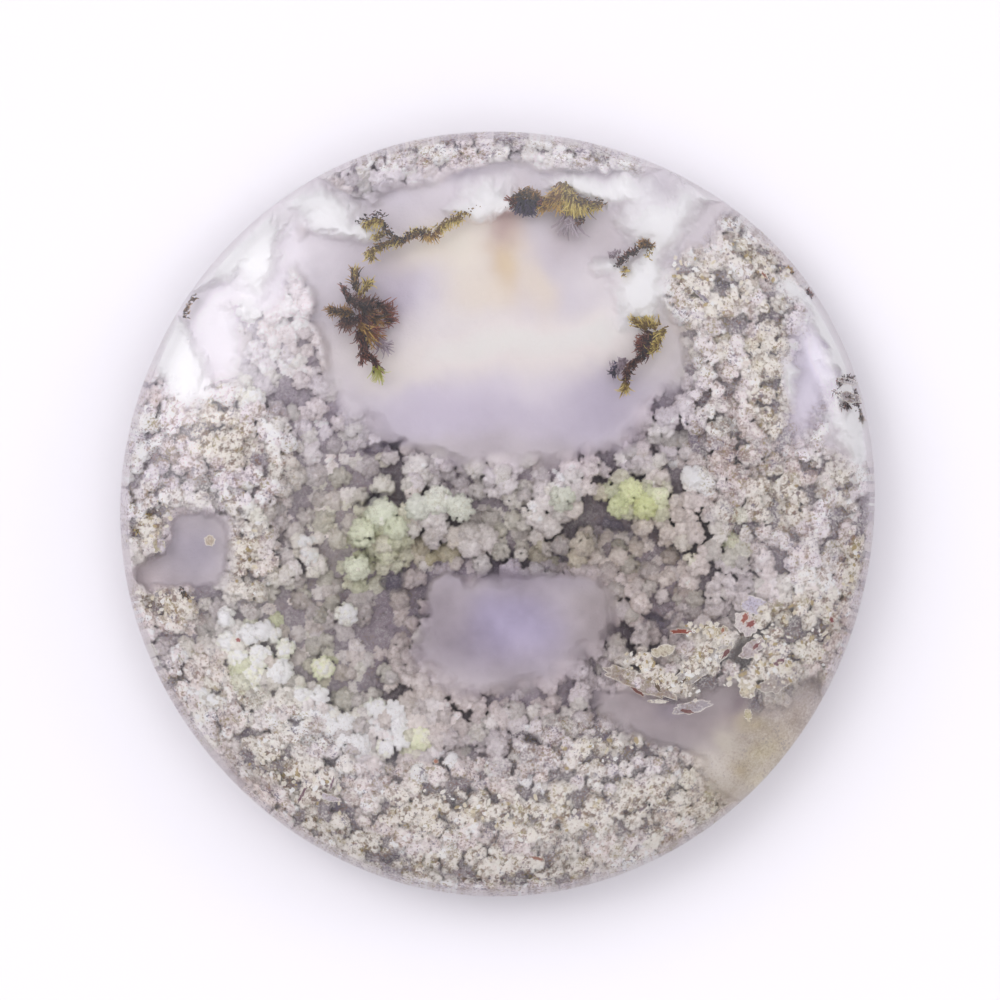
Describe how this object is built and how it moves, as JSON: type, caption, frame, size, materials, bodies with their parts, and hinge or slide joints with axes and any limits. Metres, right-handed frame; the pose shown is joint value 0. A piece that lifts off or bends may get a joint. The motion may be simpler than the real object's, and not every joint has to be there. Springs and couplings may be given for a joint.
{
  "type": "moss agate cabochon",
  "caption": "Round polished moss agate stone with a low dome, flat back and bevelled back edge; translucent chalcedony with moss-like mineral tufts inside.",
  "frame": {"origin": "middle of the flat back, at the centre of the stone's bounding box", "axes": "+Z from the flat back up through the dome; +Y towards the top of the stone's pattern as it is shown; +X to the viewer's right"},
  "size_m": [0.038, 0.0386, 0.0064],
  "materials": {
    "moss_agate": "high polish over translucent lilac-grey chalcedony with cream, sage and brown moss inclusions"
  },
  "bodies": {
    "root": {"moss_agate_cabochon": "moss_agate"}
  },
  "joints": []
}
